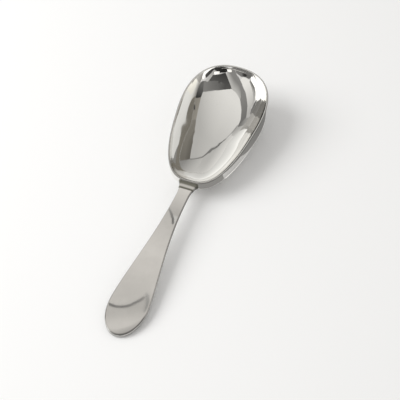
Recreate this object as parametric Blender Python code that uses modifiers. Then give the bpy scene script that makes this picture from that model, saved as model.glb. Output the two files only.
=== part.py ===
"""Risotto serving spoon in polished steel.

A deep bowl with an unbroken thin rim, upright walls and a rounder hollow, a flat handle
blanked from sheet, and the weld that blends the end of the handle into the outside of the bowl.
Metres, +Z up. The spoon lies along Y on the plane Z = 0, handle towards -Y,
and the origin is under the middle of its length.
"""

import math

import bmesh
import bpy

# Bowl: outline of the rim seen from above
BOWL_LENGTH = 0.1127
BOWL_WIDTH = 0.0683
RIM_HEIGHT = 0.0250         # rim above the table, halfway along the bowl
RIM_RISE = 0.0092           # the tip end of the rim is this much higher, the neck end lower
RIM_SHEET = 0.0013          # thickness of the rounded rim
TIP_SQUARENESS = 2.32       # outline of the tip half: 2 is an ellipse, more is squarer
NECK_SQUARENESS = 2.87      # outline of the neck half
RIM_EGG = 0.237             # how much wider the outline is towards the tip

# Bowl: section of the outside, upright at the rim and dished below
SIDE_SQUARENESS = 9.5       # more has a tighter turn from wall to floor
TIP_WALL_SQUARENESS = 5.0   # the same at the tip end
NECK_WALL_SQUARENESS = 5.7  # and at the neck
DISH_SHARE = 0.36           # part of the height that the floor climbs before the wall
TIP_DISH_SHARE = 0.60
FLAT_SHARE = 0.20           # part of the outline that is flat floor

# Bowl: section of the hollow, rounder than the outside
HOLLOW_SQUARENESS = 2.3
HOLLOW_DISH = 0.35
FLOOR_SHEET = 0.0014        # thickness under the middle of the hollow

# Handle: plan, side view, sheet
HANDLE_LENGTH = 0.1373      # from its tip to the rim of the bowl
HANDLE_WIDTH = 0.0298       # across its broad end
HANDLE_END_REACH = 0.0237   # tip to the broadest place
NECK_WIDTH = 0.0100
NECK_TO_BOWL = 0.0119       # narrowest place to the rim of the bowl
NECK_FLARE = 0.0019         # widening on each side, from the neck to the bowl
NECK_DROP = 0.0026          # top of the handle below the rim, where they meet
TAPER_LEAD = 0.73           # below 1 the handle narrows sooner
HANDLE_SHEET = 0.003
HANDLE_ROUND = 0.0011
HANDLE_ARCH = 0.0032        # bow of the handle above a straight line
HANDLE_CROWN = 0.0005       # how far the edges drop below the middle of the broad end

# Weld at the neck: a hollow fillet over and under the handle, thin at its sides
WELD_LEG = 0.0018           # up and down the wall of the bowl
WELD_REACH = 0.0058         # along the handle
WELD_SIDE = 0.0009
WELD_LIP = 0.0005           # thickness where the weld runs out on the handle
WELD_CORNER = 5.0           # squareness of the collar's section
JOINT_GAP = 0.0003          # clearance between neighbouring solids

# Fineness of the curved surfaces
BOWL_SEGMENTS = 72
OUTSIDE_RINGS = 14
LIP_STEPS = 4
HOLLOW_RINGS = 13
HANDLE_ROWS = 46
HANDLE_COLUMNS = 12
ROUND_STEPS = 3
WELD_SEGMENTS = 40
WELD_RINGS = 7

STEEL_COLOUR = (0.66, 0.645, 0.625, 1.0)
BOWL_ROUGHNESS = 0.06
HANDLE_ROUGHNESS = 0.14
WELD_ROUGHNESS = 0.10
SMOOTH_ANGLE = math.radians(40)

SPOON_LENGTH = HANDLE_LENGTH + BOWL_LENGTH
TIP_Y = -SPOON_LENGTH / 2
RIM_START_Y = TIP_Y + HANDLE_LENGTH
BOWL_MIDDLE_Y = RIM_START_Y + BOWL_LENGTH / 2
NECK_RIM_HEIGHT = RIM_HEIGHT - RIM_RISE
HANDLE_RISE = NECK_RIM_HEIGHT - NECK_DROP - HANDLE_SHEET
HANDLE_STOCK = HANDLE_LENGTH + BOWL_LENGTH / 4     # the blank before it is trimmed to the bowl


def clear_scene():
    for old in list(bpy.data.objects):
        bpy.data.objects.remove(old, do_unlink=True)


def new_collection(name):
    made = bpy.data.collections.new(name)
    bpy.context.scene.collection.children.link(made)
    return made


def polished_steel(name, roughness):
    steel = bpy.data.materials.new(name)
    steel.use_nodes = True
    shader = steel.node_tree.nodes["Principled BSDF"]
    shader.inputs["Base Color"].default_value = STEEL_COLOUR
    shader.inputs["Metallic"].default_value = 1.0
    shader.inputs["Roughness"].default_value = roughness
    return steel


def add_object(name, bm, collection, material=None):
    """A named object from a finished bmesh, shaded smooth with its true edges kept."""
    mesh = bpy.data.meshes.new(name)
    bm.to_mesh(mesh)
    bm.free()
    mesh.shade_smooth()
    mesh.set_sharp_from_angle(angle=SMOOTH_ANGLE)
    made = bpy.data.objects.new(name, mesh)
    collection.objects.link(made)
    if material:
        mesh.materials.append(material)
    return made


def as_cutter(obj):
    obj.hide_render = True
    obj.display_type = "WIRE"
    return obj


def add_sheet(obj, thickness, offset):
    wall = obj.modifiers.new("sheet", "SOLIDIFY")
    wall.thickness = thickness
    wall.offset = offset
    wall.use_even_offset = True


def add_round(obj, width):
    edge = obj.modifiers.new("rounded edge", "BEVEL")
    edge.width = width
    edge.segments = ROUND_STEPS
    edge.limit_method = "ANGLE"
    edge.angle_limit = math.radians(50)


def add_cut(obj, cutter):
    cut = obj.modifiers.new("cut by " + cutter.name, "BOOLEAN")
    cut.operation = "DIFFERENCE"
    cut.object = cutter


def signed_power(value, power):
    return math.copysign(abs(value) ** power, value)


def extrude_ring(bm, ring, turn, place):
    """Extrudes a closed ring of edges and puts each new vertex where place says for its turn."""
    made = bmesh.ops.extrude_edge_only(bm, edges=ring)["geom"]
    ring = [item for item in made if isinstance(item, bmesh.types.BMEdge) and item.is_boundary]
    for vert in {vert for edge in ring for vert in edge.verts}:
        vert.co = place(vert[turn])
    return ring


def start_ring(bm, segments, place, capped):
    """A closed ring of vertices that keep their turn, 0 at the tip or top side."""
    turn = bm.verts.layers.float.new("turn")
    bmesh.ops.create_circle(bm, segments=segments, radius=1, cap_ends=capped)
    for vert in bm.verts:
        vert[turn] = math.atan2(vert.co.x, vert.co.y)
        vert.co = place(vert[turn])
    return list(bm.edges), turn


# Bowl

def egg_outline(turn):
    """Across and along shares of the rim outline; turn 0 is the tip end of the bowl."""
    squareness = TIP_SQUARENESS if math.cos(turn) > 0 else NECK_SQUARENESS
    along = signed_power(math.cos(turn), 2 / squareness)
    across = signed_power(math.sin(turn), 2 / squareness)
    return across * (1 + RIM_EGG * along), along


EGG_WIDEST = max(egg_outline(math.pi * step / 360)[0] for step in range(361))


def shaped(along, side, tip, neck):
    """A value that goes from the sides of the bowl to its tip and neck ends."""
    return side + (tip - side) * max(along, 0) ** 2 + (neck - side) * max(-along, 0) ** 2


def rim_edge_height(along):
    """Height of the rim where its round begins."""
    return RIM_HEIGHT + RIM_RISE * along - RIM_SHEET / 2


def squared_quarter(dip, squareness):
    """Spread and drop of a squared quarter; dip is 0 at the rim, a quarter turn at the middle of the floor."""
    far = (math.cos(dip) ** squareness + math.sin(dip) ** squareness) ** (-1 / squareness)
    return far * math.cos(dip), far * math.sin(dip)


def outside_climb(along, spread, drop):
    """Share of the rim's height that the outside has reached: dished floor first, then the wall."""
    dish = shaped(along, DISH_SHARE, TIP_DISH_SHARE, DISH_SHARE)
    dished = max(spread - FLAT_SHARE, 0) / (1 - FLAT_SHARE)
    return (1 - dish) * (1 - drop) + dish * dished ** 2


def bowl_place(turn, spread, inset, height):
    across, along = egg_outline(turn)
    return (
        (BOWL_WIDTH / 2 - inset) * across / EGG_WIDEST * spread,
        BOWL_MIDDLE_Y + (BOWL_LENGTH / 2 - inset) * along * spread,
        height,
    )


def outside_point(turn, dip):
    along = egg_outline(turn)[1]
    squareness = shaped(along, SIDE_SQUARENESS, TIP_WALL_SQUARENESS, NECK_WALL_SQUARENESS)
    spread, drop = squared_quarter(dip, squareness)
    return bowl_place(turn, spread, 0, rim_edge_height(along) * outside_climb(along, spread, drop))


def lip_point(turn, angle):
    """A point on the round of the rim; the angle is 0 outside and half a turn inside."""
    inset = RIM_SHEET / 2 * (1 - math.cos(angle))
    height = rim_edge_height(egg_outline(turn)[1]) + RIM_SHEET / 2 * math.sin(angle)
    return bowl_place(turn, 1, inset, height)


def hollow_point(turn, dip):
    spread, drop = squared_quarter(dip, HOLLOW_SQUARENESS)
    climb = (1 - HOLLOW_DISH) * (1 - drop) + HOLLOW_DISH * spread ** 2
    depth = rim_edge_height(egg_outline(turn)[1]) - FLOOR_SHEET
    return bowl_place(turn, spread, RIM_SHEET, FLOOR_SHEET + depth * climb)


def neck_wall_y(height):
    """Where the outside of the bowl stands at the neck, at a height above the table."""
    low, high = 0.0, 1.0
    for _ in range(40):
        spread = (low + high) / 2
        drop = (1 - spread ** NECK_WALL_SQUARENESS) ** (1 / NECK_WALL_SQUARENESS)
        if rim_edge_height(-1) * outside_climb(-1, spread, drop) < height:
            low = spread
        else:
            high = spread
    return BOWL_MIDDLE_Y - BOWL_LENGTH / 2 * low


def bowl_skin():
    """The outside of the bowl as an open surface: a ring at the rim, extruded down to a flat floor."""
    bm = bmesh.new()
    ring, turn = start_ring(bm, BOWL_SEGMENTS, lambda angle: outside_point(angle, 0), capped=False)
    last = math.atan(1 / FLAT_SHARE)
    for step in range(1, OUTSIDE_RINGS + 1):
        dip = last * step / OUTSIDE_RINGS
        ring = extrude_ring(bm, ring, turn, lambda angle: outside_point(angle, dip))
    floor = bmesh.ops.contextual_create(bm, geom=ring)["faces"][0]
    for vert in floor.verts:
        vert.co.z = 0
    bmesh.ops.recalc_face_normals(bm, faces=bm.faces)
    if floor.normal.z > 0:
        bmesh.ops.reverse_faces(bm, faces=bm.faces)
    return bm


def build_bowl(collection):
    """The outside, then over the round of the rim and down into the hollow."""
    bm = bowl_skin()
    turn = bm.verts.layers.float["turn"]
    ring = [edge for edge in bm.edges if edge.is_boundary]
    for step in range(1, LIP_STEPS):
        angle = math.pi * step / LIP_STEPS
        ring = extrude_ring(bm, ring, turn, lambda place: lip_point(place, angle))
    for step in range(HOLLOW_RINGS):
        dip = math.pi / 2 * step / HOLLOW_RINGS
        ring = extrude_ring(bm, ring, turn, lambda place: hollow_point(place, dip))
    middle = bmesh.ops.contextual_create(bm, geom=ring)["faces"]
    centre = bmesh.ops.poke(bm, faces=middle)["verts"][0]
    centre.co = (0, BOWL_MIDDLE_Y, FLOOR_SHEET)
    bmesh.ops.recalc_face_normals(bm, faces=bm.faces)
    return add_object("bowl", bm, collection, polished_steel("bowl_steel", BOWL_ROUGHNESS))


def build_bowl_clearance(collection):
    """The filled outside of the bowl, grown by the joint gap; it trims what is welded to the bowl."""
    bm = bowl_skin()
    rim = [edge for edge in bm.edges if edge.is_boundary]
    bmesh.ops.contextual_create(bm, geom=rim)
    bmesh.ops.recalc_face_normals(bm, faces=bm.faces)
    bm.normal_update()
    for vert in bm.verts:
        vert.co += vert.normal * JOINT_GAP
    return as_cutter(add_object("bowl_clearance", bm, collection))


# Handle

def handle_half_width(run):
    """Half the width of the handle at a distance from its tip, past the rounded end."""
    taper_end = HANDLE_LENGTH - NECK_TO_BOWL
    share = (run - HANDLE_END_REACH) / (taper_end - HANDLE_END_REACH)
    share = min(max(share, 0), 1) ** TAPER_LEAD
    taper = (1 + math.cos(math.pi * share)) / 2
    flare = NECK_FLARE * (max(run - taper_end, 0) / NECK_TO_BOWL) ** 2
    return NECK_WIDTH / 2 + (HANDLE_WIDTH - NECK_WIDTH) / 2 * taper + flare


def handle_height(run):
    """Height of the middle of the handle's sheet at a distance from its tip."""
    share = run / HANDLE_LENGTH
    return HANDLE_SHEET / 2 + HANDLE_RISE * share + 4 * HANDLE_ARCH * share * (1 - share)


def handle_slab(name, collection, grow=0.0, material=None):
    """The handle's blank, reaching into the bowl; grow makes it larger all round."""
    bm = bmesh.new()
    bmesh.ops.create_grid(bm, x_segments=HANDLE_COLUMNS, y_segments=HANDLE_ROWS, size=1)
    for vert in bm.verts:
        side = math.sin(math.pi / 2 * vert.co.x)
        end = HANDLE_END_REACH * (1 - math.sqrt(max(1 - side * side, 0)))
        run = end + (HANDLE_STOCK - end) * (vert.co.y + 1) / 2
        half = handle_half_width(min(run, HANDLE_LENGTH))
        drop = HANDLE_CROWN * (side * half / (HANDLE_WIDTH / 2)) ** 2
        vert.co = (side * (half + grow), TIP_Y + run, handle_height(run) - drop)
    slab = add_object(name, bm, collection, material)
    add_sheet(slab, HANDLE_SHEET + 2 * grow, 0)
    add_round(slab, min(HANDLE_ROUND, HANDLE_SHEET / 2.5) + grow)
    return slab


def build_handle(collection, bowl_clearance):
    """The handle, trimmed to the wall of the bowl."""
    handle = handle_slab("handle", collection, material=polished_steel("handle_steel", HANDLE_ROUGHNESS))
    add_cut(handle, bowl_clearance)
    return handle


# Weld

def weld_profile():
    """Distance out from the wall of the bowl and thickness over the handle, along a hollow fillet."""
    leg = min(WELD_LEG, NECK_DROP - RIM_SHEET / 2)
    last = math.asin(1 - WELD_LIP / leg)
    angles = [last * step / WELD_RINGS for step in range(WELD_RINGS + 1)]
    fillet = [(WELD_REACH * (1 - math.cos(angle)), leg * (1 - math.sin(angle))) for angle in angles]
    return [(-RIM_SHEET / 2, leg)] + fillet


def weld_point(turn, out, thick):
    """A point of the collar round the neck, at a distance out from the wall of the bowl."""
    run = HANDLE_LENGTH - out
    side = WELD_SIDE * thick / WELD_LEG + JOINT_GAP
    half_width = handle_half_width(run) + side
    half_height = HANDLE_SHEET / 2 + thick
    height = handle_height(run) + half_height * signed_power(math.cos(turn), 2 / WELD_CORNER)
    across = half_width * signed_power(math.sin(turn), 2 / WELD_CORNER)
    return across, neck_wall_y(height) - out, height


def build_neck_weld(collection, cutters, bowl_clearance):
    """A collar lofted along the neck, hollow where the handle passes and trimmed to the bowl."""
    bm = bmesh.new()
    profile = weld_profile()
    ring, turn = start_ring(bm, WELD_SEGMENTS, lambda angle: weld_point(angle, *profile[0]), capped=True)
    for out, thick in profile[1:]:
        ring = extrude_ring(bm, ring, turn, lambda angle: weld_point(angle, out, thick))
    bmesh.ops.contextual_create(bm, geom=ring)
    bmesh.ops.recalc_face_normals(bm, faces=bm.faces)
    weld = add_object("neck_weld", bm, collection, polished_steel("weld_steel", WELD_ROUGHNESS))
    handle_clearance = handle_slab("handle_clearance", cutters, grow=JOINT_GAP)
    add_cut(weld, as_cutter(handle_clearance))
    add_cut(weld, bowl_clearance)
    return weld


def main():
    clear_scene()
    spoon = new_collection("risotto_serving_spoon")
    cutters = new_collection("cutters")
    build_bowl(spoon)
    bowl_clearance = build_bowl_clearance(cutters)
    build_handle(spoon, bowl_clearance)
    build_neck_weld(spoon, cutters, bowl_clearance)


main()
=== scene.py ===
# %% [markdown]
# A risotto serving spoon in polished stainless steel: a deep egg-shaped bowl, a flat handle that
# widens to a rounded end, and the blend where the handle meets the outside of the bowl.
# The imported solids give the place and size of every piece. Their facets are too coarse for a mirror
# finish, so this lesson builds the shapes again with fine, smooth surfaces. Two small things differ from
# the solids: the wall of the hollow leans in a little more, and the blend ends in a small step.

import math

import bmesh
import bpy
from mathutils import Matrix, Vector


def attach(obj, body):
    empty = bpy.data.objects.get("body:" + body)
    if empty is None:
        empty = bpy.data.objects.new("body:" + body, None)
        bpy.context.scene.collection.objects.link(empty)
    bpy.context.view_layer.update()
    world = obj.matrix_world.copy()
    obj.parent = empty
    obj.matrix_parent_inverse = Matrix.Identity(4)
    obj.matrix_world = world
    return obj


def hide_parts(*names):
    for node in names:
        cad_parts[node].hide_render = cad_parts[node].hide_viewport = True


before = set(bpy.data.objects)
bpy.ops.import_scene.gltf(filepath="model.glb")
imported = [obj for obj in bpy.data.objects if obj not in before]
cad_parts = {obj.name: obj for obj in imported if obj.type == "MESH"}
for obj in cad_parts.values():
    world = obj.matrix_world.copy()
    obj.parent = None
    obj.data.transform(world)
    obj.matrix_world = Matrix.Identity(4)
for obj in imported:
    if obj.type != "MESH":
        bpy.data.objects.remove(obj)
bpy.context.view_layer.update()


# %% [markdown]
# Shapes and finishes below both need arithmetic between node sockets. Wiring Math nodes by hand is slow to
# read, so one small class wraps a socket and lets Python's own operators add the Math nodes.

# %% A socket that can stand in an expression
class Field:
    """A socket of a node tree. Operators on it add Math nodes to that tree."""

    def __init__(self, tree, socket=None):
        self.tree = tree
        self.socket = socket

    def node(self, kind, settings=None, values=None, output=0):
        """Any other node: its settings first, then the values or links of its sockets."""
        made = self.tree.nodes.new(kind)
        for name, setting in (settings or {}).items():
            setattr(made, name, setting)
        for key, value in (values or {}).items():
            if isinstance(value, Field):
                self.tree.links.new(value.socket, made.inputs[key])
            else:
                made.inputs[key].default_value = value
        return Field(self.tree, made.outputs[output])

    def math(self, operation, *values):
        return self.node("ShaderNodeMath", {"operation": operation}, dict(enumerate(values)))

    def __add__(self, other):
        return self.math("ADD", self, other)

    def __radd__(self, other):
        return self.math("ADD", other, self)

    def __sub__(self, other):
        return self.math("SUBTRACT", self, other)

    def __rsub__(self, other):
        return self.math("SUBTRACT", other, self)

    def __mul__(self, other):
        return self.math("MULTIPLY", self, other)

    def __rmul__(self, other):
        return self.math("MULTIPLY", other, self)

    def __truediv__(self, other):
        return self.math("DIVIDE", self, other)

    def __rtruediv__(self, other):
        return self.math("DIVIDE", other, self)

    def __pow__(self, other):
        return self.math("POWER", self, other)

    def __abs__(self):
        return self.math("ABSOLUTE", self)

    def cosine(self):
        return self.math("COSINE", self)

    def sine(self):
        return self.math("SINE", self)

    def above(self, other):
        """1 where this is greater than other, else 0."""
        return self.math("GREATER_THAN", self, other)

    def least(self, other):
        return self.math("MINIMUM", self, other)

    def most(self, other):
        return self.math("MAXIMUM", self, other)

    def between(self, low, high, smooth=False):
        """0 at low, 1 at high, held outside."""
        kind = "SMOOTHSTEP" if smooth else "LINEAR"
        values = {"Value": self, "From Min": low, "From Max": high}
        return self.node("ShaderNodeMapRange", {"interpolation_type": kind}, values)


print("socket class ready")


# %% [markdown]
# A piece whose shape follows a rule is made by Geometry Nodes: a flat grid gives every vertex two
# coordinates from 0 to 1, an expression says where that vertex goes, and close vertices are merged so
# that seams and poles are shut. The sizes are named inputs of the tree, set before it first runs.

# %% Pieces from a grid and a rule
MERGE_WITHIN = 2e-6
UP = Vector((0, 0, 1))


def tree_with_sizes(name, sizes):
    """A geometry tree with one named number input for each size."""
    tree = bpy.data.node_groups.new(name, "GeometryNodeTree")
    for title, size in sizes.items():
        socket = tree.interface.new_socket(title, in_out="INPUT", socket_type="NodeSocketFloat")
        socket.default_value = size
    tree.interface.new_socket("Geometry", in_out="OUTPUT", socket_type="NodeSocketGeometry")
    entry = tree.nodes.new("NodeGroupInput")
    return tree, {title: Field(tree, entry.outputs[title]) for title in sizes}


def settled(obj):
    """The object as a plain mesh: what its modifiers made is kept, and they are removed."""
    bpy.context.view_layer.update()
    evaluated = obj.evaluated_get(bpy.context.evaluated_depsgraph_get())
    mesh = bpy.data.meshes.new_from_object(evaluated)
    obj.modifiers.clear()
    obj.data = mesh
    mesh.name = obj.name
    mesh.shade_smooth()
    return obj


def piece_from_rule(name, columns, rows, sizes, rule, finish):
    """A mesh whose vertices go where rule(u, v, sizes) says. The rule also gives named attributes."""
    tree, given = tree_with_sizes(name + "_rule", sizes)
    start = Field(tree)
    grid = start.node(
        "GeometryNodeMeshGrid",
        values={"Size X": 1.0, "Size Y": 1.0, "Vertices X": columns, "Vertices Y": rows},
    )
    flat = start.node("GeometryNodeInputPosition")
    u = flat.node("ShaderNodeSeparateXYZ", values={0: flat}, output=0) + 0.5
    v = flat.node("ShaderNodeSeparateXYZ", values={0: flat}, output=1) + 0.5
    place, attributes = rule(u, v, given)
    shape = grid
    for title, value in attributes.items():
        shape = start.node(
            "GeometryNodeStoreNamedAttribute",
            {"data_type": "FLOAT", "domain": "POINT"},
            {"Geometry": shape, "Name": title, "Value": value},
        )
    target = start.node("ShaderNodeCombineXYZ", values=dict(enumerate(place)))
    shape = start.node("GeometryNodeSetPosition", values={"Geometry": shape, "Position": target})
    shape = start.node(
        "GeometryNodeMergeByDistance", values={"Geometry": shape, "Distance": MERGE_WITHIN}
    )
    shape = start.node("GeometryNodeRealizeInstances", values={"Geometry": shape})
    shape = start.node("GeometryNodeSetMaterial", values={"Geometry": shape, "Material": finish})
    leave = tree.nodes.new("NodeGroupOutput")
    tree.links.new(shape.socket, leave.inputs["Geometry"])

    obj = bpy.data.objects.new(name, bpy.data.meshes.new(name))
    bpy.context.scene.collection.objects.link(obj)
    modifier = obj.modifiers.new("rule", "NODES")
    modifier.node_group = tree
    for item in tree.interface.items_tree:
        if item.in_out == "INPUT":
            modifier[item.identifier] = sizes[item.name]
    return settled(obj)


def face_outwards(obj, probe, outward):
    """Turns the faces round if the face nearest to the probe point looks the wrong way."""
    nearest = min(obj.data.polygons, key=lambda face: (face.center - probe).length)
    if nearest.normal.dot(outward) < 0:
        obj.data.flip_normals()
    return obj


print("rule pieces ready")


# %% [markdown]
# Polished steel has almost no colour of its own: what shows is its surroundings. What makes it look like
# metal and not like chrome paint is small: the mirror is softer where hands and cloths have been, the
# polishing wheel leaves hair-fine lines, and rubbed edges are duller. The edges are also painted much
# darker, as painted shade for the dark lines that their reflections show.
# One finish with a few numbers serves all three pieces. Its lines follow each piece, so they read
# coordinates that are stored along the surface.

# %% Polished steel
STEEL = (0.897, 0.887, 0.868, 1.0)
# Dark grey for rims and edges: a little of it is wear, most of it is painted shade.
EDGE_WEAR_AND_SHADE = (0.34, 0.333, 0.318, 1.0)
# Dark olive for the corner of the neck blend: painted shade in the crease.
NECK_CORNER_SHADE = (0.26, 0.258, 0.222, 1.0)
CLOUD_SCALE = 38.0
CLOUD_LOW = 0.42
CLOUD_HIGH = 0.68
LINE_ROUGHNESS = 0.03
EDGE_ROUGHNESS = 0.10
LINE_BUMP = 0.04
LINE_DEPTH = 0.00002


def polished_steel(name, edge_wear_and_shade_colour, mirror, smudge, film, lines_along, lines_across, wear_and_shade_share):
    """Steel with polishing lines along the stored coordinate 'along'. Where 'edge' is 1 it is duller, and its
    colour is painted darker there as painted shade.
    """
    steel = bpy.data.materials.new(name)
    steel.use_nodes = True
    tree = steel.node_tree
    shader = tree.nodes["Principled BSDF"]
    shader.inputs["Metallic"].default_value = 1.0
    start = Field(tree)
    place = start.node("ShaderNodeTexCoord", output="Object")
    along = start.node("ShaderNodeAttribute", {"attribute_name": "along"}, output="Fac")
    across = start.node("ShaderNodeAttribute", {"attribute_name": "across"}, output="Fac")
    edge = start.node("ShaderNodeAttribute", {"attribute_name": "edge"}, output="Fac")

    lines_at = start.node("ShaderNodeCombineXYZ", values={0: along * lines_along, 1: across * lines_across})
    lines = start.node(
        "ShaderNodeTexNoise", values={"Vector": lines_at, "Scale": 1.0, "Detail": 3.0, "Roughness": 0.6}
    )
    clouds = start.node(
        "ShaderNodeTexNoise", values={"Vector": place, "Scale": CLOUD_SCALE, "Detail": 4.0, "Roughness": 0.55}
    )
    clouds = clouds.between(CLOUD_LOW, CLOUD_HIGH, smooth=True)
    # Where 'edge' is 1 the steel is rougher and its colour goes towards the dark edge colour: painted shade.
    edge_wear_and_shade = edge * wear_and_shade_share
    shade_and_mottle = (edge_wear_and_shade + film * clouds + 2 * film * (lines - 0.5)).most(0.0).least(1.0)

    rough = mirror + smudge * clouds + LINE_ROUGHNESS * (lines - 0.5) + EDGE_ROUGHNESS * edge_wear_and_shade
    tint = start.node(
        "ShaderNodeMix",
        {"data_type": "RGBA"},
        {0: shade_and_mottle, 6: STEEL, 7: edge_wear_and_shade_colour},
        output=2,
    )
    bump = start.node(
        "ShaderNodeBump", values={"Strength": LINE_BUMP, "Distance": LINE_DEPTH, "Height": lines}
    )
    tree.links.new(tint.socket, shader.inputs["Base Color"])
    tree.links.new(rough.socket, shader.inputs["Roughness"])
    tree.links.new(bump.socket, shader.inputs["Normal"])
    return steel


bowl_steel = polished_steel(
    "bowl_steel", EDGE_WEAR_AND_SHADE, mirror=0.035, smudge=0.03, film=0.02,
    lines_along=60.0, lines_across=900.0, wear_and_shade_share=0.85,
)
handle_steel = polished_steel(
    "handle_steel", EDGE_WEAR_AND_SHADE, mirror=0.085, smudge=0.05, film=0.10,
    lines_along=26.0, lines_across=700.0, wear_and_shade_share=0.85,
)
neck_steel = polished_steel(
    "neck_steel", NECK_CORNER_SHADE, mirror=0.06, smudge=0.03, film=0.05,
    lines_along=20.0, lines_across=400.0, wear_and_shade_share=1.0,
)
print("finishes:", [steel.name for steel in (bowl_steel, handle_steel, neck_steel)])


# %% [markdown]
# The bowl is the main piece. Seen from above its rim is an egg: a squared ellipse that is wider towards
# the tip. Its outside goes down upright and turns into a dished foot with a small flat to rest on. Its
# hollow is rounder and its wall leans in a little, so the metal is thin at the rim and thicker at the turn
# of the wall. It could be modelled by hand and smoothed, but a mirror shows every unevenness, so one rule
# makes the outside, the rounded rim and the hollow in a single sheet of vertices. Its curves are written
# in polar form, so that the grid's lines stay evenly spread.

# %% The bowl
SPOON_LENGTH = 0.250
bowl_sizes = {
    "Length": 0.1127,
    "Width": 0.0683,
    "Middle": 0.06865,
    "Rim height": 0.0250,
    "Rim rise": 0.0092,
    "Rim sheet": 0.0013,
    "Egg": 0.237,
    "Tip squareness": 2.32,
    "Neck squareness": 2.87,
    "Side wall": 9.5,
    "Tip wall": 5.0,
    "Neck wall": 5.7,
    "Dish": 0.36,
    "Tip dish": 0.60,
    "Flat": 0.20,
    "Hollow wall": 2.3,
    "Hollow dish": 0.35,
    "Hollow lean": 0.30,
    "Floor sheet": 0.0014,
}
BOWL_COLUMNS = 289
BOWL_ROWS = 225
OUTER_ENDS = 0.46
INNER_STARTS = 0.54
DULL_SHADE_BEFORE = 0.01
DULL_SHADE_KEEPS = 0.02
DULL_SHADE_FADES = 0.05
OUTLINE_STEPS = 720


def egg_widest(egg, squareness):
    """The widest place of the egg outline, so that its width can be set exactly."""
    def across(turn):
        along, side = math.cos(turn), math.sin(turn)
        far = (abs(along) ** squareness + side ** squareness) ** (-1 / squareness)
        return far * side * (1 + egg * far * along)
    return max(across(math.pi / 2 * step / OUTLINE_STEPS) for step in range(1, OUTLINE_STEPS + 1))


def squared(along, across, squareness):
    """How far a squared ellipse reaches in a direction."""
    return (abs(along) ** squareness + abs(across) ** squareness) ** (-1 / squareness)


def bowl_rule(u, v, size):
    """u goes once round the bowl; v goes from under the foot, over the rim, to the middle of the hollow."""
    turn = 2 * math.pi * u
    toward_tip = turn.cosine()
    sideways = turn.sine()
    squareness = size["Neck squareness"] + (
        size["Tip squareness"] - size["Neck squareness"]
    ) * toward_tip.above(0.0)
    far = squared(toward_tip, sideways, squareness)
    along = far * toward_tip
    widest = egg_widest(bowl_sizes["Egg"], bowl_sizes["Tip squareness"])
    across = far * sideways * (1 + size["Egg"] * along) / widest
    rim = size["Rim height"] + size["Rim rise"] * along - size["Rim sheet"] / 2
    inside = v.above((OUTER_ENDS + INNER_STARTS) / 2)
    lean = size["Hollow lean"] * inside
    dip = lean + math.pi / 2 * (1 - v.between(0.0, OUTER_ENDS)) + (math.pi / 2 - lean) * v.between(
        INNER_STARTS, 1.0
    )

    tip_share = along.most(0.0) ** 2
    neck_share = (0 - along).most(0.0) ** 2
    wall = (
        size["Side wall"]
        + (size["Tip wall"] - size["Side wall"]) * tip_share
        + (size["Neck wall"] - size["Side wall"]) * neck_share
    )
    wall = wall + (size["Hollow wall"] - wall) * inside
    reach = squared(dip.cosine(), dip.sine(), wall)
    rim_reach = squared(lean.cosine(), lean.sine(), wall)
    spread = reach * dip.cosine() / (rim_reach * lean.cosine())
    rounded = (1 - reach * dip.sine()) / (1 - rim_reach * lean.sine())
    dish = size["Dish"] + (size["Tip dish"] - size["Dish"]) * tip_share
    dish = dish + (size["Hollow dish"] - dish) * inside
    flat = size["Flat"] * (1 - inside)
    dished = (spread - flat).most(0.0) / (1 - flat)
    climb = (1 - dish) * rounded + dish * dished ** 2

    lip = math.pi * v.between(OUTER_ENDS, INNER_STARTS)
    inset = size["Rim sheet"] / 2 * (1 - lip.cosine())
    floor = size["Floor sheet"] * inside
    place = (
        (size["Width"] / 2 - inset) * across * spread,
        size["Middle"] + (size["Length"] / 2 - inset) * along * spread,
        floor + (rim - floor) * climb + size["Rim sheet"] / 2 * lip.sine(),
    )
    # The rim's lip is rougher and painted dark, as painted shade, which fades out just inside the hollow.
    bright_again = v.between(OUTER_ENDS + DULL_SHADE_KEEPS, OUTER_ENDS + DULL_SHADE_FADES)
    edge = v.between(OUTER_ENDS - DULL_SHADE_BEFORE, OUTER_ENDS) * (1 - bright_again)
    return place, {"along": u, "across": v, "edge": edge}


bowl = piece_from_rule("bowl_shell", BOWL_COLUMNS, BOWL_ROWS, bowl_sizes, bowl_rule, bowl_steel)
under_bowl = Vector((0, bowl_sizes["Middle"], 0))
bowl = face_outwards(bowl, under_bowl, -UP)
print("bowl:", len(bowl.data.polygons), "faces")


# %% [markdown]
# The handle is blanked from thicker sheet and polished. Its outline narrows from the broad rounded end to
# the neck, and the whole piece is bowed a little. A flat outline with thickness and a bevel would do, but
# its crown and bow would be hard to keep smooth, so it follows a rule too. The grid runs once round the
# outline; its other direction goes from the middle line of the top, over the rounded edge, to the middle
# line of the underside.

# %% The handle
handle_sizes = {
    "Length": 0.1373,
    "Reach": 0.1382,
    "Width": 0.0298,
    "End reach": 0.0237,
    "Neck width": 0.0100,
    "Neck to bowl": 0.0119,
    "Neck flare": 0.0019,
    "Taper lead": 0.73,
    "Sheet": 0.003,
    "Round": 0.0011,
    "Rise": 0.0102,
    "Arch": 0.0032,
    "Crown": 0.0005,
}
HANDLE_COLUMNS = 361
HANDLE_ROWS = 61
END_SHARE = 0.28
TOP_ENDS = 0.36
EDGE_STARTS = 0.46
EDGE_ENDS = 0.54
UNDER_STARTS = 0.64
ALONG_SCALE = 4
ACROSS_SCALE = 20


def handle_half_width(run, size):
    """Half the handle's width at a distance from its end."""
    taper_end = size["Length"] - size["Neck to bowl"]
    share = run.between(size["End reach"], taper_end) ** size["Taper lead"]
    taper = (1 + (math.pi * share).cosine()) / 2
    flare = size["Neck flare"] * run.between(taper_end, size["Length"]) ** 2
    return size["Neck width"] / 2 + (size["Width"] - size["Neck width"]) / 2 * taper + flare


def handle_height(run, size):
    """The middle of the handle's thickness above the table, at a distance from its end."""
    share = run / size["Length"]
    return size["Sheet"] / 2 + size["Rise"] * share + 4 * size["Arch"] * share * (1 - share)


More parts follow.
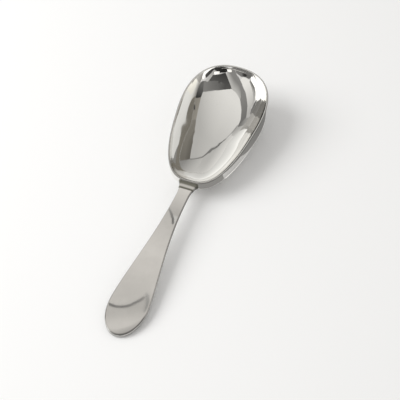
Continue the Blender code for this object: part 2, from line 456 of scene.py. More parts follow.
def handle_rule(u, v, size):
    """u goes once round the outline; v goes from the top, over the edge, to the underside."""
    from_tip = abs(2 * u - 1)
    side = 2 * u.above(0.5) - 1
    fan = math.pi / 2 * from_tip.between(0.0, END_SHARE)
    run = size["End reach"] * (1 - fan.cosine()) + (size["Reach"] - size["End reach"]) * from_tip.between(
        END_SHARE, 1.0
    )
    edge_x = handle_half_width(run, size) * fan.sine()
    spine = run.most(size["End reach"])
    edge_run = run - spine
    length = (edge_x * edge_x + edge_run * edge_run) ** 0.5

    arc = math.pi / 2 * (v.between(TOP_ENDS, EDGE_STARTS) + v.between(EDGE_ENDS, UNDER_STARTS))
    out = v.between(0.0, TOP_ENDS) - v.between(UNDER_STARTS, 1.0)
    thick = 1 - 2 * v.between(EDGE_STARTS, EDGE_ENDS)
    distance = (length - size["Round"]) * out + size["Round"] * arc.sine()
    lift = (size["Sheet"] / 2 - size["Round"]) * thick + size["Round"] * arc.cosine()

    share = distance / length
    x = side * edge_x * share
    here = spine + edge_run * share
    drop = size["Crown"] * (x / (size["Width"] / 2)) ** 2
    place = (x, here - SPOON_LENGTH / 2, handle_height(here, size) - drop + lift)
    # The rounded edge is rougher and painted dark, as painted shade.
    edge = v.between(TOP_ENDS, EDGE_STARTS) * (1 - v.between(EDGE_ENDS, UNDER_STARTS))
    return place, {"along": here * ALONG_SCALE, "across": x * ACROSS_SCALE, "edge": edge}


handle = piece_from_rule(
    "handle_blade", HANDLE_COLUMNS, HANDLE_ROWS, handle_sizes, handle_rule, handle_steel
)
over_handle = Vector((0, -0.05, 0.02))
handle = face_outwards(handle, over_handle, UP)
print("handle:", len(handle.data.polygons), "faces")


# %% [markdown]
# Where the handle meets the bowl the joint is ground and polished to a small hollow. A bevel needs an edge
# that both pieces share, and there is none, so the blend is a collar lofted along the neck: each ring
# follows the section of the handle, a little larger, and the profile falls away from the wall of the bowl
# as a quarter of an ellipse. It ends in a small step on the handle. The corner and that step are duller
# where the polishing wheel does not reach, and their colour is painted darker, as painted shade in the
# crease. The whole collar carries some of that painted shade, and the polishing lines run round it.

# %% The blend at the neck
WELD_LEG = 0.0018
WELD_REACH = 0.0058
WELD_SIDE = 0.0009
WELD_CORNER = 5.0
WELD_LEDGE = 0.0004
WELD_SINK = 0.0005
NECK_RIM_HEIGHT = bowl_sizes["Rim height"] - bowl_sizes["Rim rise"] - bowl_sizes["Rim sheet"] / 2
NECK_RINGS = 22
NECK_SEGMENTS = 144
CORNER_ENDS = 0.30
CORNER_FADE = 0.25
END_LINE_STARTS = 0.72
END_LINE_FADE = 0.12
# Even the open part of the collar keeps a quarter of the duller finish and of the painted shade.
LEAST_DULL_AND_SHADE = 0.25
HALVINGS = 40


def signed_power(value, power):
    """A power that keeps the sign of its value."""
    return math.copysign(abs(value) ** power, value)


def number_half_width(run):
    """The handle's half width as a plain number, near the neck."""
    taper_end = handle_sizes["Length"] - handle_sizes["Neck to bowl"]
    span = taper_end - handle_sizes["End reach"]
    share = min(max((run - handle_sizes["End reach"]) / span, 0), 1) ** handle_sizes["Taper lead"]
    taper = (1 + math.cos(math.pi * share)) / 2
    flare = handle_sizes["Neck flare"] * (max(run - taper_end, 0) / handle_sizes["Neck to bowl"]) ** 2
    spread = (handle_sizes["Width"] - handle_sizes["Neck width"]) / 2
    return handle_sizes["Neck width"] / 2 + spread * taper + flare


def number_height(run):
    """The middle of the handle's thickness as a plain number."""
    share = run / handle_sizes["Length"]
    bow = 4 * handle_sizes["Arch"] * share * (1 - share)
    return handle_sizes["Sheet"] / 2 + handle_sizes["Rise"] * share + bow


def neck_wall_y(height):
    """Where the outside of the bowl stands at the neck, at a height above the table."""
    squareness = bowl_sizes["Neck wall"]
    low, high = 0.0, 1.0
    for _ in range(HALVINGS):
        spread = (low + high) / 2
        dished = max(spread - bowl_sizes["Flat"], 0) / (1 - bowl_sizes["Flat"])
        drop = (1 - spread ** squareness) ** (1 / squareness)
        climb = (1 - bowl_sizes["Dish"]) * (1 - drop) + bowl_sizes["Dish"] * dished ** 2
        if NECK_RIM_HEIGHT * climb < height:
            low = spread
        else:
            high = spread
    return bowl_sizes["Middle"] - bowl_sizes["Length"] / 2 * low


def neck_profile():
    """Distance out from the wall and thickness over the handle, along a hollow quarter."""
    angles = [math.pi / 2 * step / NECK_RINGS for step in range(NECK_RINGS + 1)]
    fall = WELD_LEG - WELD_LEDGE
    hollow = [(WELD_REACH * (1 - math.cos(a)), WELD_LEDGE + fall * (1 - math.sin(a))) for a in angles]
    return [(-WELD_SINK, WELD_LEG)] + hollow + [(WELD_REACH, -WELD_LEDGE)]


def neck_point(turn, out, thick):
    """A point of the collar: turn goes round it, out goes away from the wall of the bowl."""
    run = handle_sizes["Length"] - out
    half_width = number_half_width(run) + WELD_SIDE * thick / WELD_LEG
    half_height = handle_sizes["Sheet"] / 2 + thick
    height = number_height(run) + half_height * signed_power(math.cos(turn), 2 / WELD_CORNER)
    across = half_width * signed_power(math.sin(turn), 2 / WELD_CORNER)
    return across, neck_wall_y(height) - out, height


def neck_dullness_and_shade(out):
    """1 in the corner and along the line where the blend ends: duller where the polishing wheel does not
    reach, and painted darker there as painted shade.
    """
    share = out / WELD_REACH
    corner = 1 - max(share - CORNER_ENDS, 0) / CORNER_FADE
    end_line = (share - END_LINE_STARTS) / END_LINE_FADE
    return min(max(corner, end_line, LEAST_DULL_AND_SHADE), 1.0)


def build_neck():
    """The collar, ring by ring, closed at both ends."""
    mesh = bmesh.new()
    dull_and_shade, along, across = [mesh.verts.layers.float.new(title) for title in ("edge", "along", "across")]
    turns = [2 * math.pi * step / NECK_SEGMENTS for step in range(NECK_SEGMENTS)]
    rings = []
    for out, thick in neck_profile():
        rings.append([mesh.verts.new(neck_point(turn, out, thick)) for turn in turns])
        for point, turn in zip(rings[-1], turns):
            point[dull_and_shade] = neck_dullness_and_shade(out)
            # Half turns round the collar, with the jump from 2 back to 0 on its underside.
            point[along] = (turn / math.pi + 1) % 2
            point[across] = out * ACROSS_SCALE
    for first, second in zip(rings, rings[1:]):
        for step in range(NECK_SEGMENTS):
            after = (step + 1) % NECK_SEGMENTS
            mesh.faces.new((first[step], first[after], second[after], second[step]))
    mesh.faces.new(rings[0])
    mesh.faces.new(rings[-1])
    bmesh.ops.recalc_face_normals(mesh, faces=mesh.faces)
    shape = bpy.data.meshes.new("neck_blend")
    mesh.to_mesh(shape)
    mesh.free()
    shape.shade_smooth()
    shape.materials.append(neck_steel)
    made = bpy.data.objects.new("neck_blend", shape)
    bpy.context.scene.collection.objects.link(made)
    return made


neck = build_neck()
print("neck blend:", len(neck.data.polygons), "faces")


# %% [markdown]
# Each piece is tied to the frame: it rides on the one body and stands for its solid. The solids stay,
# hidden, and the render shows these pieces. The solids stay for the collision checks, and the render
# shows these pieces.

# %% Tie the pieces to the frame
for piece, node, slot in (
    (bowl, "bowl", "bowl_steel"),
    (handle, "handle", "handle_steel"),
    (neck, "neck_weld", "weld_steel"),
):
    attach(piece, "root")
    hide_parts(node)
    print(piece.name, "stands for", node)


# %% [markdown]
# A mirror finish is only as good as its surroundings, so the studio comes next. The floor is one large
# pale sheet. It could curve up at the back, but flat is enough, because the camera looks down on the
# spoon. It takes the spoon's shadow.

# %% Floor
FLOOR_COLOUR = (0.93, 0.93, 0.925, 1.0)
FLOOR_ROUGHNESS = 0.85
FLOOR_GLOSS = 0.1
FLOOR_SIZE = 6.0


def pale_floor():
    """A flat pale sheet under the spoon."""
    paint = bpy.data.materials.new("pale_floor")
    paint.use_nodes = True
    shader = paint.node_tree.nodes["Principled BSDF"]
    shader.inputs["Base Color"].default_value = FLOOR_COLOUR
    shader.inputs["Roughness"].default_value = FLOOR_ROUGHNESS
    shader.inputs["Specular IOR Level"].default_value = FLOOR_GLOSS
    mesh = bmesh.new()
    bmesh.ops.create_grid(mesh, x_segments=2, y_segments=2, size=FLOOR_SIZE / 2)
    shape = bpy.data.meshes.new("floor")
    mesh.to_mesh(shape)
    mesh.free()
    shape.materials.append(paint)
    made = bpy.data.objects.new("floor", shape)
    bpy.context.scene.collection.objects.link(made)


pale_floor()
print("floor:", FLOOR_SIZE, "m square")


# %% [markdown]
# Beyond the floor there is plain pale light from every side. It lights the spoon at one level, and the
# camera and the reflections see it at another. Light Path tells these rays apart, so a pale background
# never means more light on the spoon.

# %% Pale surroundings
FILL = 0.62
BACKDROP = 0.72
BACKDROP_COLOUR = (1.0, 0.99, 0.975, 1.0)
SEEING_RAYS = ("Is Camera Ray", "Is Glossy Ray", "Is Transmission Ray")
world = bpy.data.worlds.new("studio")
bpy.context.scene.world = world
world.use_nodes = True
backdrop = world.node_tree.nodes["Background"]
camera_ray, glossy_ray, through_ray = [
    Field(world.node_tree).node("ShaderNodeLightPath", output=name) for name in SEEING_RAYS
]
shown = (camera_ray + glossy_ray + through_ray).least(1.0)
world.node_tree.links.new((FILL + (BACKDROP - FILL) * shown).socket, backdrop.inputs["Strength"])
backdrop.inputs["Color"].default_value = BACKDROP_COLOUR
print("surroundings:", FILL, "for light,", BACKDROP, "as seen")


# %% [markdown]
# Steel like this shows little but its surroundings, so light and dark cards stand around the spoon, as
# they do when silver is photographed. Light and dark painted on the steel would not move with the view,
# so apart from the painted shade along its edges and in the neck corner, the steel takes them from cards.
# A card is cut from its corners while it is flat, its glow fades evenly from one place to another, and then
# it is put in place. Only reflections see it. In a deep bowl a ray can be reflected several times, so a
# card answers either to the first reflection or to the later ones.

# %% How a card is made
PLAIN = (1.0, 0.987, 0.95, 1.0)
BROWN = (1.0, 0.94, 0.82, 1.0)
CLEAN = (0.995, 1.0, 0.985, 1.0)
CREAM = (1.0, 0.985, 0.92, 1.0)
WARM = (1.0, 0.967, 0.917, 1.0)
CARD_STEP = 6.0
PAST_FIRST = 1.5


def fade(place, start, end):
    """The glow at a place, between the glow at start and the glow at end."""
    (glow, (x0, y0)), (end_glow, (x1, y1)) = start, end
    run = (x1 - x0) ** 2 + (y1 - y0) ** 2
    share = ((place[0] - x0) * (x1 - x0) + (place[1] - y0) * (y1 - y0)) / run
    return glow + (end_glow - glow) * min(max(share, 0.0), 1.0)


def card_paint(name, tint, later):
    """Light from the stored glow, for the first reflection or for the later ones, and clear to the others."""
    paint = bpy.data.materials.new(name)
    paint.use_nodes = True
    tree = paint.node_tree
    tree.nodes.remove(tree.nodes["Principled BSDF"])
    start = Field(tree)
    glow = start.node("ShaderNodeAttribute", {"attribute_name": "glow"}, output="Fac")
    light = start.node("ShaderNodeEmission", values={"Color": tint, "Strength": glow})
    clear = start.node("ShaderNodeBsdfTransparent")
    deep = start.node("ShaderNodeLightPath", output="Glossy Depth").above(PAST_FIRST)
    shallow_look, deep_look = (clear, light) if later else (light, clear)
    look = start.node("ShaderNodeMixShader", values={0: deep, 1: shallow_look, 2: deep_look})
    tree.links.new(look.socket, tree.nodes["Material Output"].inputs["Surface"])
    paint.cycles.emission_sampling = "NONE"
    return paint


def cut_card(corners):
    """A flat card, cut into triangles with no edge longer than the card step, in the card's own unit."""
    mesh = bmesh.new()
    mesh.faces.new([mesh.verts.new((*corner, 0.0)) for corner in corners])
    bmesh.ops.triangulate(mesh, faces=mesh.faces)
    long = [edge for edge in mesh.edges if edge.calc_length() > CARD_STEP]
    while long:
        bmesh.ops.subdivide_edges(mesh, edges=long, cuts=1)
        bmesh.ops.triangulate(mesh, faces=mesh.faces)
        long = [edge for edge in mesh.edges if edge.calc_length() > CARD_STEP]
    return mesh


def card(name, tint, start, end, corners, place, later):
    """A shape that only reflections show: cut flat, given its glow, and then put in place."""
    mesh = cut_card(corners)
    glow = mesh.verts.layers.float.new("glow")
    for point in mesh.verts:
        corner = point.co.x, point.co.y
        point[glow] = fade(corner, start, end)
        point.co = place(*corner)
    shape = bpy.data.meshes.new(name)
    mesh.to_mesh(shape)
    mesh.free()
    shape.materials.append(card_paint(name, tint, later))
    made = bpy.data.objects.new(name, shape)
    made.visible_camera = False
    made.visible_diffuse = False
    made.visible_shadow = False
    bpy.context.scene.collection.objects.link(made)


def stand_cards(cards, place_for, later=False):
    """Makes each card of a list. place_for(order) gives the rule that puts its corners in place."""
    for order, (title, tint, start, end, corners) in enumerate(cards):
        card("card_" + title, tint, start, end, corners, place_for(order), later)
    print("cards:", [title for title, *_ in cards])


print("card maker ready")


# %% [markdown]
# The cards for the first reflection in the bowl stand on a wide dome. A corner is two angles from straight
# up, in degrees: how far it leans to the right, and how far towards the tip. The curved hollow shrinks the
# whole dome to a small picture, so the shapes are large and plain. A card further down the list lies in
# front of those above it. This first group gives the pale middle of the hollow, the grey arc to the right
# of it, and the light strip and the white patch beyond the arc.

# %% Cards for the middle of the hollow
middle_cards = (
    ("pale_middle", PLAIN, (0.48, (23, 43)), (0.8, (-21, -24)), (
        (-44, 16), (-44, 6.5), (-36.4, -12), (-26.8, -29), (-16.6, -40), (-11, -44.9), (5, -40.6),
        (28, -31.9), (45, -21.6), (62, -7), (62, -5), (59, 7.5), (53.6, 23.5), (47, 36.6), (39, 44.4),
        (30, 45.6), (13, 56), (1, 53), (-11.6, 51), (-14, 47.5), (-15.5, 43.6), (-28.6, 40.5),
        (-36, 31), (-43, 22),
    )),
    ("grey_arc", PLAIN, (0.17, (-46, 16)), (0.255, (-36, -34)), (
        (-11, -44.9), (-16.6, -40), (-26.8, -29), (-36.4, -12), (-44, 6.5), (-44, 16), (-50, 22),
        (-60, 24), (-58, 10), (-50, -14.7), (-44, -26.6), (-36.8, -40), (-28, -51.4), (-20.5, -64.8),
        (-14.6, -79.3), (-12, -90), (12, -90), (8, -77), (-2, -70), (-11, -58),
    )),
    ("arc_end", PLAIN, (0.19, (-48, 20)), (0.34, (-60, 20)), (
        (-44, 16), (-44, 22), (-54, 29), (-68, 28), (-70, 18), (-64, 13), (-58, 8), (-50, 12),
    )),
    ("light_streak", PLAIN, (0.54, (-6, -55)), (0.235, (-14.5, -61.5)), (
        (-11, -44.9), (-5.3, -53.5), (0, -60), (7, -68), (11, -77), (4, -77), (-5, -72), (-11, -66),
        (-16.5, -60), (-21, -52), (-24.5, -43), (-27, -34), (-26.8, -29), (-16.6, -40),
    )),
    ("light_strip", PLAIN, (0.5, (-58, 0)), (0.88, (-37, -56)), (
        (-20.5, -64.8), (-28, -51.4), (-36.8, -40), (-44, -26.6), (-50, -14.7), (-58, 10), (-66, 15),
        (-71, 13), (-66, 4), (-64, -8), (-66, -20), (-64, -32), (-57, -46), (-47, -62), (-40, -68),
        (-28, -72),
    )),
    ("soft_grey", PLAIN, (0.36, (-56, -48)), (0.5, (-66, -15)), (
        (-64, -4), (-64, -20), (-60, -34), (-54, -46), (-46, -60), (-52, -61), (-58, -53), (-66, -42),
        (-71, -30), (-73, -18), (-70, -8),
    )),
    ("thin_line", PLAIN, (0.13, (-56, -52)), (0.4, (-69, -24)), (
        (-48, -64), (-56, -49.5), (-64, -36), (-68.5, -22), (-71, -22), (-68, -38), (-59, -52),
        (-51, -65),
    )),
    ("white_patch", PLAIN, (1.5, (-75, -40)), (1.5, (-76, -10)), (
        (-88, -3), (-76, -8), (-72, -17), (-70.5, -30), (-66, -42), (-58, -53), (-51, -62), (-53, -69),
        (-62, -70), (-74, -58), (-84, -42), (-89, -20),
    )),
    ("dark_corner", PLAIN, (0.15, (-74, -6)), (0.25, (-68, 12)), (
        (-88, 14), (-71, 14), (-66, 9), (-65, 0), (-70, -8), (-76, -9), (-88, -4),
    )),
    ("far_grey", PLAIN, (0.16, (-40, -75)), (0.22, (-16, -80)), (
        (-56, -70), (-50, -66), (-42, -67), (-34, -71), (-22, -72), (-15, -79), (-13, -90), (-56, -86),
    )),
    ("far_core", PLAIN, (0.03, (-34, -76)), (0.07, (-26, -78)), (
        (-39, -74), (-32, -72), (-25, -76), (-27, -82), (-36, -80),
    )),
)
print(len(middle_cards), "cards for the middle")


# %% [markdown]
# The hollow at the tip faces the neck, so it shows what stands low on that side: a dark block with a sharp
# lower edge, a black band above it, and a few bright glints close to the rim.

# %% Cards for the far end
far_cards = (
    ("dark_block", PLAIN, (0.11, (15, -68)), (0.225, (55, -16)), (
        (-11, -44.9), (5, -40.6), (28, -31.9), (45, -21.6), (62, -7), (69, -14), (76, -20), (72, -25),
        (62, -31), (57, -44), (55, -53), (34, -64), (14, -75), (7, -68), (-5.3, -53.5),
    )),
    ("block_core", PLAIN, (0.05, (14, -70)), (0.1, (14, -44)), (
        (-11, -44.9), (16, -38.5), (24, -46), (29, -50.5), (42, -45), (54.7, -37), (59, -36), (57, -44),
        (55, -53), (34, -64), (14, -75), (7, -68), (-5.3, -53.5),
    )),
    ("block_fade", PLAIN, (0.085, (2, -46)), (0.135, (17, -43)), (
        (16, -38.5), (24, -46), (19, -52), (4, -50), (1, -41.4),
    )),
    ("far_black", PLAIN, (0.022, (30, -80)), (0.075, (80, -42)), (
        (14, -75), (34, -68), (50, -66), (62, -62), (67, -48), (74, -30), (84, -30), (90, -20),
        (90, -50), (70, -74), (40, -90), (8, -90), (7, -80),
    )),
    ("light_diagonal", PLAIN, (0.55, (62, -34)), (0.42, (58, -62)), (
        (74, -23), (62, -30), (57, -44), (56, -52), (50, -67), (62, -65), (68, -44),
    )),
    ("low_glint", PLAIN, (1.3, (47, -64)), (1.1, (36, -68)), (
        (57, -60), (46, -67), (36, -71), (33.5, -65.5), (42, -61), (50, -56),
    )),
    ("far_glint", PLAIN, (1.2, (0, -82)), (1.2, (8, -82)), (
        (12.5, -84), (0, -86.5), (-4.5, -83), (-3, -79), (7, -77.5),
    )),
    ("side_glint", PLAIN, (1.2, (82, -24)), (1.2, (87, -24)), (
        (79, -22), (84, -17), (90, -18), (90, -27), (82, -28),
    )),
)
print(len(far_cards), "cards for the far end")


# %% [markdown]
# Left of the pale middle lies a brown band, darker at its far end and with one dark spot. The slope by the
# neck is grey on the left and turns pale to the right, and a thin dark seam parts it from the middle.
# All three groups share one dome, so they are stood up together, in this order.

# %% Cards for the band and the slope
CARD_DOME = 4.0
CARD_GAP = 0.02
DOME_MIDDLE = Vector((0.0, bowl_sizes["Middle"], 0.015))
slope_cards = (
    ("dark_wedge", PLAIN, (0.04, (64, 10)), (0.15, (78, -6)), (
        (60.5, 3.5), (69, 16), (77, 27), (86, 24), (86, -2), (80, -16), (76, -20), (69, -14), (62, -7),
    )),
    ("brown_far", BROWN, (0.26, (66, 28)), (0.3, (54, 24)), (
        (60.5, 3.5), (69, 16), (77, 27), (76, 34), (68, 42), (62, 46), (54, 44), (47, 36.6),
        (53.6, 23.5), (59, 7.5),
    )),
    ("dark_spot", PLAIN, (0.04, (62, 32)), (0.06, (66, 32)), (
        (59.5, 31), (62, 29), (65.5, 27.5), (70, 33), (67, 37), (63, 36),
    )),
    ("brown_near", BROWN, (0.18, (34, 62)), (0.22, (46, 44)), (
        (13, 56), (30, 45.6), (39, 44.4), (47, 36.6), (54, 44), (62, 46), (68, 42), (76, 40), (64, 56),
        (54, 66), (44, 72), (36, 72), (24, 62),
    )),
    ("brown_edge", BROWN, (0.135, (23, 52)), (0.19, (30, 58)), (
        (13, 56), (30, 45.6), (39, 44.4), (40, 49), (32, 56), (22, 60),
    )),
    ("neck_slope", PLAIN, (0.28, (22, 64)), (0.55, (-16, 64)), (
        (13, 56), (24, 62), (36, 72), (30, 82), (0, 86), (-18, 80), (-15, 57), (-11.6, 52), (1, 54),
    )),
    ("neck_light", PLAIN, (0.5, (-20, 48)), (0.73, (-38, 56)), (
        (-11.6, 51.5), (-15, 57), (-18, 80), (-48, 70), (-62, 52), (-70, 28), (-54, 29), (-44, 22),
        (-38, 33), (-28.6, 41), (-15.5, 44.6), (-14, 48),
    )),
    ("arc_foot", PLAIN, (0.42, (-45, 22)), (0.62, (-51, 37)), (
        (-44, 18.5), (-60, 24.5), (-66, 28), (-62, 36), (-56, 40), (-47, 37), (-40, 32), (-38, 25),
    )),
    ("seam", PLAIN, (0.16, (-26, 41)), (0.26, (0, 54)), (
        (-37, 30), (-33, 36.5), (-28.6, 41.2), (-22, 43), (-16.5, 44.5), (-14.5, 49), (-11.6, 51.8),
        (1, 54), (13, 57), (13, 55.4), (1, 52.4), (-10, 50.2), (-12.8, 47), (-15, 42.8), (-22, 41.2),
        (-27.5, 39.2), (-32, 34),
    )),
    ("seam_soft", PLAIN, (0.42, (-34, 32)), (0.3, (-44, 18)), (
        (-44, 15), (-41, 24), (-33, 36.5), (-30, 36), (-36, 26), (-41, 15),
    )),
)


def toward(azimuth, tilt):
    """Unit vector: azimuth from +Y towards +X, tilt from straight up, in degrees."""
    a, t = math.radians(azimuth), math.radians(tilt)
    return Vector((math.sin(t) * math.sin(a), math.sin(t) * math.cos(a), math.cos(t)))


def leaning(right, tip):
    """Unit vector that leans this many degrees to the right and towards the tip."""
    return toward(math.degrees(math.atan2(right, tip)), math.hypot(right, tip))


def on_dome(order):
    """A corner's two angles put it on the dome, each card a little nearer than the one before."""
    return lambda right, tip: DOME_MIDDLE + leaning(right, tip) * (CARD_DOME - CARD_GAP * order)


stand_cards(middle_cards + far_cards + slope_cards, on_dome)


# %% [markdown]
# Seen from above, the upright outside of the bowl mirrors the floor beside it. The cards for its dark band
# and for the light line along its foot lie on the floor, with corners in millimetres to the right and
# towards the tip. Just under the far rim the hollow looks out over the neck to the floor far away. The
# cards for that are much larger, so their corners are in decimetres.

# %% Cards on the floor
FLOOR_CARD_HEIGHT = 0.0003
NEAR_GAP = 0.0001
MILLIMETRE = 0.001
DECIMETRE = 0.1
floor_cards = (
    ("wall_shade", PLAIN, (0.21, (44, 95)), (0.28, (40, 40)), (
        (36.5, 112), (36, 78), (38, 68), (40.5, 60), (40, 52), (38.5, 42), (36.5, 31), (34.5, 29),
        (33, 28.5), (30.2, 32), (27, 30), (20, 22), (8, 16), (8, -30), (60, -60), (160, -40),
        (170, 140), (36, 130),
    )),
    ("foot_light", PLAIN, (0.55, (34, 85)), (0.95, (32, 60)), (
        (35.5, 83), (35.5, 71), (34, 65), (33.5, 58), (32.5, 52), (31.5, 45), (30.2, 37.5),
        (28.6, 33.4), (23, 34.5), (24, 40), (27, 46), (28, 53), (29.5, 60), (31.5, 71), (34, 83),
    )),
)
far_floor_cards = (
    ("far_left", PLAIN, (0.17, (-2, -4)), (0.2, (-4, -4)), (
        (-0.3, -1), (-1.9, -1), (-70, -80), (-0.6, -80),
    )),
    ("far_right", PLAIN, (0.06, (2, -4)), (0.03, (8, -4)), (
        (1.4, -0.6), (1.8, -15), (9, -90), (90, -90), (90, -32), (5.6, -1),
    )),
)


def on_sheet(height, gap, unit=MILLIMETRE):
    """Places for cards on a level sheet, each card a gap higher than the one before."""
    def place_for(order):
        return lambda right, tip: Vector((right * unit, tip * unit, height + gap * order))
    return place_for


stand_cards(floor_cards, on_sheet(FLOOR_CARD_HEIGHT, NEAR_GAP))
stand_cards(far_floor_cards, on_sheet(FLOOR_CARD_HEIGHT, 0.0, DECIMETRE))


# %% [markdown]
# The handle is nearly flat, so it shows a small part of its surroundings, much enlarged. On the dome its
# cards would be tiny, and they would show in the bowl as well. They lie on a sheet just above the handle
# instead: warm pale fields, the thin dark lines across them, and a shade towards the rounded end. The
# spoon sees this sheet from below, so each card hangs a little lower than the one before.

# %% Cards over the handle
HANDLE_CARD_HEIGHT = 0.035
handle_cards = (
    ("handle_neck", WARM, (0.48, (-7, -4)), (0.7, (-5, 24)), (
        (-40, -6), (30, -6), (30, 28), (-40, 28),
    )),
    ("handle_upper", WARM, (0.545, (-7, -6)), (0.68, (-3, -44)), (
        (-40, 6), (-10.5, -2), (-4.2, -9.5), (-1, -15), (30, -17), (30, -45), (-40, -45),
    )),
    ("handle_middle", WARM, (0.68, (2, -45)), (0.585, (-18, -86)), (
        (-40, -45), (30, -45), (30, -86), (4, -83), (-3, -90.5), (-15, -97.5), (-40, -97.5),
    )),
    ("handle_end", WARM, (0.52, (-6, -98)), (0.635, (-2, -107)), (
        (-40, -97.5), (-15, -97.5), (-3, -90.5), (4, -83), (30, -86), (30, -140), (-40, -140),
    )),
    ("end_line", PLAIN, (0.17, (-20, -97)), (0.19, (0, -87)), (
        (-29, -95.6), (-23.4, -96.2), (-19.2, -96.6), (-14.7, -96), (-10.6, -94.5), (-6.8, -92.5),
        (-3.6, -89.4), (-0.2, -86.2), (2.6, -82.4), (3.6, -84), (1, -88.2), (-2.6, -91.5), (-6, -94.7),
        (-10.2, -96.6), (-14.7, -98), (-19.2, -98.7), (-23.6, -98.3), (-29, -97.4),
    )),
    ("end_side", PLAIN, (0.4, (5, -80)), (0.33, (9, -90)), (
        (2, -80), (5.5, -80.2), (8.5, -84.5), (10.5, -90), (9.8, -93), (8, -95.5), (7.4, -94.5),
        (6.8, -90), (5.2, -85.5),
    )),
    ("end_shade", WARM, (0.59, (-4, -111)), (0.16, (4, -122)), (
        (-40, -118), (-18, -117), (-8, -115), (-3, -112), (1, -109.5), (5, -106), (7, -102), (10, -98),
        (70, -98), (70, -170), (-40, -170),
    )),
    ("neck_line", PLAIN, (0.34, (-12, 0)), (0.15, (-4, -11)), (
        (-20, 3.6), (-13.4, 1.2), (-9.6, -2.2), (-7.2, -4.4), (-3.3, -9.2), (-0.9, -14.4),
        (-2.6, -15.4), (-5.1, -10.2), (-8.9, -5.6), (-11, -3.2), (-14, -0.8), (-20, 1.4),
    )),
    ("end_glint", CLEAN, (3, (-90, -150)), (3, (-80, -150)), (
        (-78, -138), (-104, -146), (-104, -196), (-72, -180),
    )),
)
stand_cards(handle_cards, on_sheet(HANDLE_CARD_HEIGHT, -NEAR_GAP))


# %% [markdown]
# Along both walls, close under the rim, a ray is reflected at least once more before it leaves the bowl.
# On the far dome the rays of both walls would share the same places. On a sheet close above the bowl they
# land apart, nearly all of the left wall's on the right and the right wall's on the left, so each wall
# gets its own shapes.

# %% Cards for the later reflections
LATER_HEIGHT = 0.055
later_cards = (
    ("later_pale", CLEAN, (0.785, (24, 115)), (0.93, (66, 112)), (
        (-120, -80), (120, -80), (120, 190), (-120, 190),
    )),
    ("later_bright", CLEAN, (0.71, (-10, 106)), (1.15, (-33, 122)), (
        (-120, 190), (-2, 190), (-2, 102), (-12, 101.6), (-24, 102.2), (-30, 102.6), (-36, 104.6),
        (-44, 107.2), (-56, 112.6), (-120, 123.5),
    )),
    ("later_corner", PLAIN, (0.775, (-6, 128)), (0.28, (15, 120)), (
        (-6, 160), (-2, 112), (4, 106), (14, 110), (20, 122), (30, 136), (32, 160),
    )),
    ("later_cream", CREAM, (0.86, (40, 96)), (1.13, (46, 78)), (
        (26, 84), (34, 92), (50, 97), (110, 97), (110, 70), (40, 74), (30, 77),
    )),
    ("later_slope", PLAIN, (0.2, (14, 92)), (0.8, (27, 85)), (
        (-4, 90), (17, 93), (27, 103.5), (34, 101), (32, 94), (29, 90), (26, 85), (24, 81), (22, 78),
        (-4, 76),
    )),
    ("later_band", BROWN, (0.205, (26, 104)), (0.235, (8, 100)), (
        (31, 142), (27, 134), (24, 130), (20, 126), (17, 122), (13.5, 117), (12.2, 113.5),
        (13.2, 110.4), (15, 108.2), (17.5, 106.7), (20.5, 105.9), (24, 105.8), (28, 105.7), (31, 104.6),
        (32.6, 102.8), (32, 100.6), (31, 98.5), (29.5, 96.5), (27, 95), (22, 92.5), (17, 90.5),
        (12, 88), (-2, 86), (-2, 110), (5, 114), (8, 119), (13, 127), (18, 134), (24, 146),
    )),
    ("later_end", PLAIN, (0.33, (4, 72)), (0.55, (36, 72)), (
        (-6, 78), (24, 78), (34, 76), (48, 73), (60, 70), (60, 60), (12, 60), (12, 64), (8, 69),
        (-4, 70), (-7, 74),
    )),
    ("later_line", PLAIN, (0.36, (-40, 105)), (0.46, (-20, 103)), (
        (-120, 123.5), (-56, 112.6), (-44, 107.2), (-36, 104.6), (-30, 102.6), (-24, 102.2),
        (-12, 101.6), (-12, 100), (-24, 100.2), (-30, 100.4), (-36, 102.6), (-44, 105.2), (-56, 110.6),
        (-120, 121),
    )),
    ("later_light", PLAIN, (0.56, (-60, 105)), (0.46, (-25, 97)), (
        (-120, 121), (-56, 110.6), (-44, 105.2), (-36, 102.6), (-30, 100.4), (-24, 100.2), (-10, 100),
        (-10, 90), (-20, 91), (-30, 93), (-38, 95.5), (-44, 97), (-52, 98.5), (-60, 102), (-120, 114),
    )),
    ("later_grey", PLAIN, (0.26, (-40, 92)), (0.225, (-24, 82)), (
        (-120, 114), (-60, 102), (-52, 98.5), (-44, 97), (-38, 95.5), (-30, 93), (-20, 91), (-8, 90),
        (-8, 81), (-28, 81), (-40, 78.5), (-56, 79.5), (-120, 80),
    )),
    ("later_white", CLEAN, (1.6, (0, 50)), (1.6, (60, 50)), (
        (-120, 80), (-56, 79.5), (-40, 78.5), (-28, 81), (-9, 80), (-7, 74), (-4, 70), (8, 69),
        (12, 64), (14, 56), (16, 26), (-30, 26), (-120, -80),
    )),
    ("later_low", PLAIN, (0.14, (-16, -8)), (0.26, (16, 20)), (
        (-30, 26), (60, 26), (60, -80), (-100, -80),
    )),
)
stand_cards(later_cards, on_sheet(LATER_HEIGHT, -NEAR_GAP), later=True)


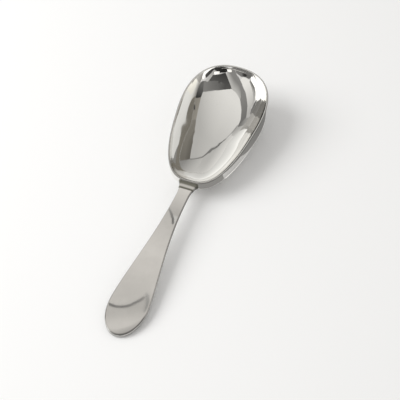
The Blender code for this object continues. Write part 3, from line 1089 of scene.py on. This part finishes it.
# %% [markdown]
# One broad lamp on the left gives the soft shadow on the right, where a small lamp would give a hard one.
# Reflections don't see it, because its square shape would show in the mirror. In the camera's picture the
# pale floor comes close to white and reaches it at the left edge. Nearer the lamp the floor is white.

# %% Lamp
LAMP_FAR = 1.6
LAMP_SIZE = 1.1
LAMP_WATTS = 18.0
LAMP_AZIMUTH = -105
LAMP_TILT = 50
lamp = bpy.data.objects.new("soft_lamp", bpy.data.lights.new("soft_lamp", "AREA"))
lamp.data.shape = "RECTANGLE"
lamp.data.size = LAMP_SIZE
lamp.data.size_y = LAMP_SIZE
lamp.data.energy = LAMP_WATTS
lamp.visible_glossy = False
lamp.location = toward(LAMP_AZIMUTH, LAMP_TILT) * LAMP_FAR
lamp.rotation_euler = (-lamp.location).to_track_quat("-Z", "Y").to_euler()
bpy.context.scene.collection.objects.link(lamp)
print("lamp at", [round(v, 2) for v in lamp.location])


# %% [markdown]
# The camera stands beyond the end of the handle, a little to the right and high above it, and looks down
# towards the bowl. Its numbers come from a fit to the outlines of the rim, the wall and the handle, so they
# are a direction and a distance from a target, and the lens is a focal length in pixels of a square picture.

# %% Camera
CAMERA_AZIMUTH = math.radians(21.379)
CAMERA_ELEVATION = math.radians(50.77)
CAMERA_FAR = 0.80808
CAMERA_TARGET = Vector((0.013819, 0.001299, 0.012121))
FOCAL_PIXELS = 1077.9
IMAGE_PIXELS = 400
SENSOR_WIDTH = 36.0
camera = bpy.data.objects.new("camera", bpy.data.cameras.new("camera"))
camera.data.sensor_width = SENSOR_WIDTH
camera.data.lens = SENSOR_WIDTH * FOCAL_PIXELS / IMAGE_PIXELS
back = Vector((
    math.sin(CAMERA_AZIMUTH) * math.cos(CAMERA_ELEVATION),
    -math.cos(CAMERA_AZIMUTH) * math.cos(CAMERA_ELEVATION),
    math.sin(CAMERA_ELEVATION),
))
camera.location = CAMERA_TARGET + back * CAMERA_FAR
camera.rotation_euler = (-back).to_track_quat("-Z", "Y").to_euler()
bpy.context.scene.collection.objects.link(camera)
bpy.context.scene.camera = camera
bpy.context.scene.view_settings.view_transform = "Standard"
print("camera at", [round(v, 3) for v in camera.location])
